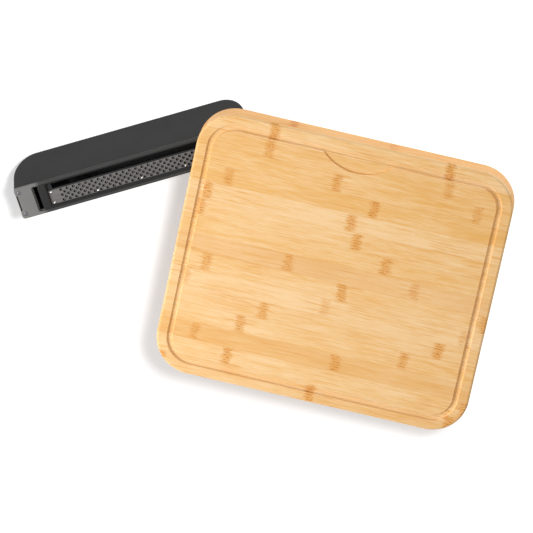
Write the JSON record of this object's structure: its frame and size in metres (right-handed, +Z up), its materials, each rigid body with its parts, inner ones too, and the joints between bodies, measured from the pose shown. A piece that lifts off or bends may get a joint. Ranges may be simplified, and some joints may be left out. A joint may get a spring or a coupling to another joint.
{
  "type": "cutting board with drawer trays",
  "caption": "Bamboo cutting board on a railed base with two bays for long black drawer trays that carry grater inserts; one tray is docked, the other stands beside it.",
  "frame": {"origin": "on the table, in the middle of the box round the whole set; the board's centre lies 104.9 mm along +X", "axes": "+Z up, +X along the board's long side, the drawers open towards -Y"},
  "size_m": [0.5899, 0.33, 0.091],
  "materials": {
    "board_bamboo": "oiled laminated bamboo",
    "rail_bamboo": "oiled bamboo",
    "ledge_bamboo": "sanded bamboo",
    "dowel_wood": "beech dowel",
    "screw_steel": "zinc plated",
    "rubber": "matte rubber",
    "tray_shell": "fine matte",
    "tray_cover": "fine matte",
    "insert_frame": "semi-gloss",
    "glide_plastic": "slick",
    "grater_steel": "brushed stainless",
    "rivet_steel": "polished"
  },
  "bodies": {
    "base": {"board": "board_bamboo", "back_rail": "rail_bamboo", "front_block": "rail_bamboo", "board_screws": "screw_steel", "rail_dowels": "dowel_wood", "outer_rail_left": "rail_bamboo", "outer_rail_right": "rail_bamboo", "inner_rail_left": "rail_bamboo", "inner_rail_right": "rail_bamboo", "outer_ledge_left": "ledge_bamboo", "outer_ledge_right": "ledge_bamboo", "inner_ledge_left": "ledge_bamboo", "inner_ledge_right": "ledge_bamboo", "outer_foot_left_front": "rubber", "outer_foot_left_back": "rubber", "outer_foot_right_front": "rubber", "outer_foot_right_back": "rubber", "inner_foot_left_front": "rubber", "inner_foot_left_back": "rubber", "inner_foot_right_front": "rubber", "inner_foot_right_back": "rubber", "bay_bumper_left": "rubber", "bay_bumper_right": "rubber"},
    "right_tray": {"right_tray_shell": "tray_shell", "right_tray_cover": "tray_cover", "right_tray_cover_screws": "screw_steel", "right_tray_glides": "glide_plastic", "right_tray_insert_frame": "insert_frame", "right_tray_grater_plate": "grater_steel", "right_tray_grater_rivets": "rivet_steel"},
    "left_tray": {"left_tray_shell": "tray_shell", "left_tray_cover": "tray_cover", "left_tray_cover_screws": "screw_steel", "left_tray_glides": "glide_plastic"},
    "left_insert": {"left_tray_insert_frame": "insert_frame", "left_tray_grater_plate": "grater_steel", "left_tray_grater_rivets": "rivet_steel"}
  },
  "joints": [
    {"name": "right_tray_slide", "type": "slide", "parent": "base", "child": "right_tray", "axis": [0, -1, 0], "range_m": [0, 0.22]},
    {"name": "left_tray_pull", "type": "slide", "parent": "base", "child": "left_tray", "axis": [-0.8678, -0.497, 0], "range_m": [0, 0.12]},
    {"name": "left_insert_lift", "type": "slide", "parent": "left_tray", "child": "left_insert", "axis": [0, 0, 1], "range_m": [0, 0.006]}
  ]
}
